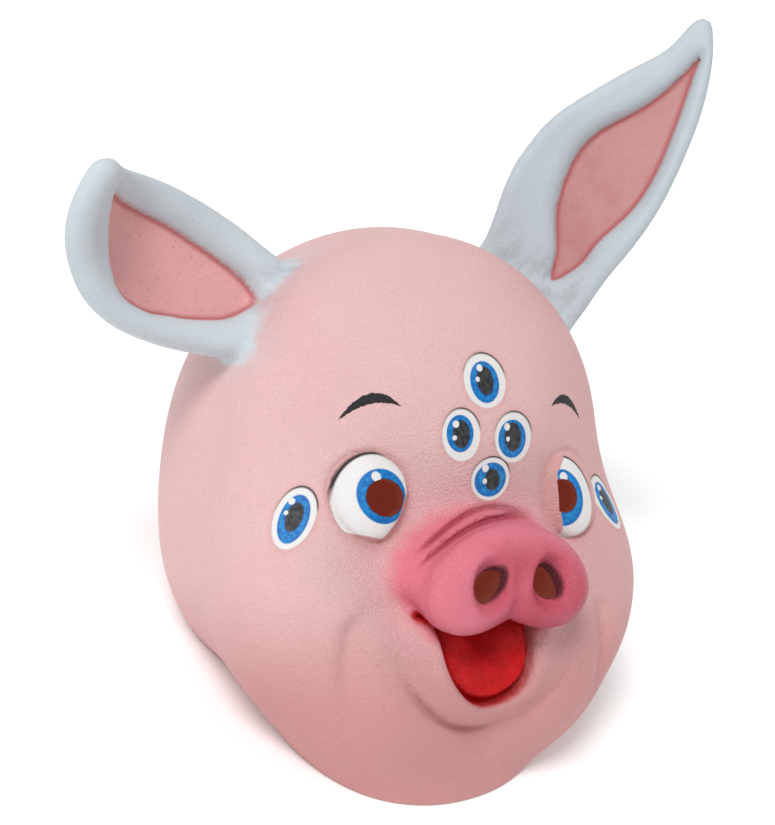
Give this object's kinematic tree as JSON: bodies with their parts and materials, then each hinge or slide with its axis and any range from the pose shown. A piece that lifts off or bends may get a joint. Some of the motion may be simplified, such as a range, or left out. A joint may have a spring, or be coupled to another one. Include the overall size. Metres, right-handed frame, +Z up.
{
  "type": "pig mask",
  "caption": "Full-head moulded rubber pig mask with long curled ears, a lobed snout, an open smiling mouth and small peepholes in the pupils and nostrils.",
  "frame": {"origin": "centre of the bounding box in X and Y, on the flat rim of the neck opening that the mask lies on", "axes": "+Z up, -Y the way the face looks, +X to the pig's left; the face is tipped up 33 degrees because the mask lies on its neck rim"},
  "size_m": [0.3432, 0.2562, 0.3151],
  "materials": {
    "skin": "satin leathery rubber skin, painted"
  },
  "bodies": {
    "root": {"mask": "skin"}
  },
  "joints": []
}
